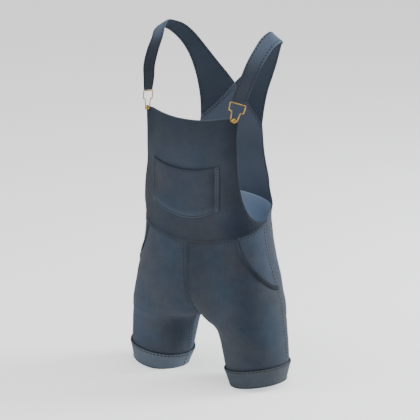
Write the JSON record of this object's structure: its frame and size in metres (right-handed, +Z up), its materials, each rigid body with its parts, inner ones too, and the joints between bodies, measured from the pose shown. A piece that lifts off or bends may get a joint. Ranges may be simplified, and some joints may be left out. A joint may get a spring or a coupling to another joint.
{
  "type": "denim shortalls",
  "caption": "Short denim dungarees filled out as if worn: bib with pocket, slanted hip pockets, turned-up cuffs, and straps held by wire loop buckles",
  "frame": {"origin": "on the mid plane, level with the underside of the straps where they cross the shoulders", "axes": "+Z up, the front faces -Y, +X is the wearer's left; the garment is a mirror image of itself across the YZ plane"},
  "size_m": [0.448, 0.2225, 0.8724],
  "materials": {
    "denim": "washed slate-blue denim twill, soft and uneven, with dark topstitching",
    "denim_facing": "the same denim, a little lighter where it faces sideways",
    "denim_band": "dark folded denim edge",
    "denim_cuff": "greyer reverse of the denim, turned up",
    "brass": "aged brass wire, satin"
  },
  "bodies": {
    "root": {"bib": "denim", "bib_pocket": "denim", "back_panel": "denim", "front_leg_left": "denim", "front_leg_right": "denim", "back_leg_left": "denim", "back_leg_right": "denim", "hip_facing_left": "denim_facing", "hip_facing_right": "denim_facing", "hip_band_left": "denim_band", "hip_band_right": "denim_band", "cuff_left": "denim_cuff", "cuff_right": "denim_cuff", "strap_left": "denim", "strap_right": "denim", "buckle_left": "brass", "buckle_right": "brass", "bib_button_left": "brass", "bib_button_right": "brass"}
  },
  "joints": []
}
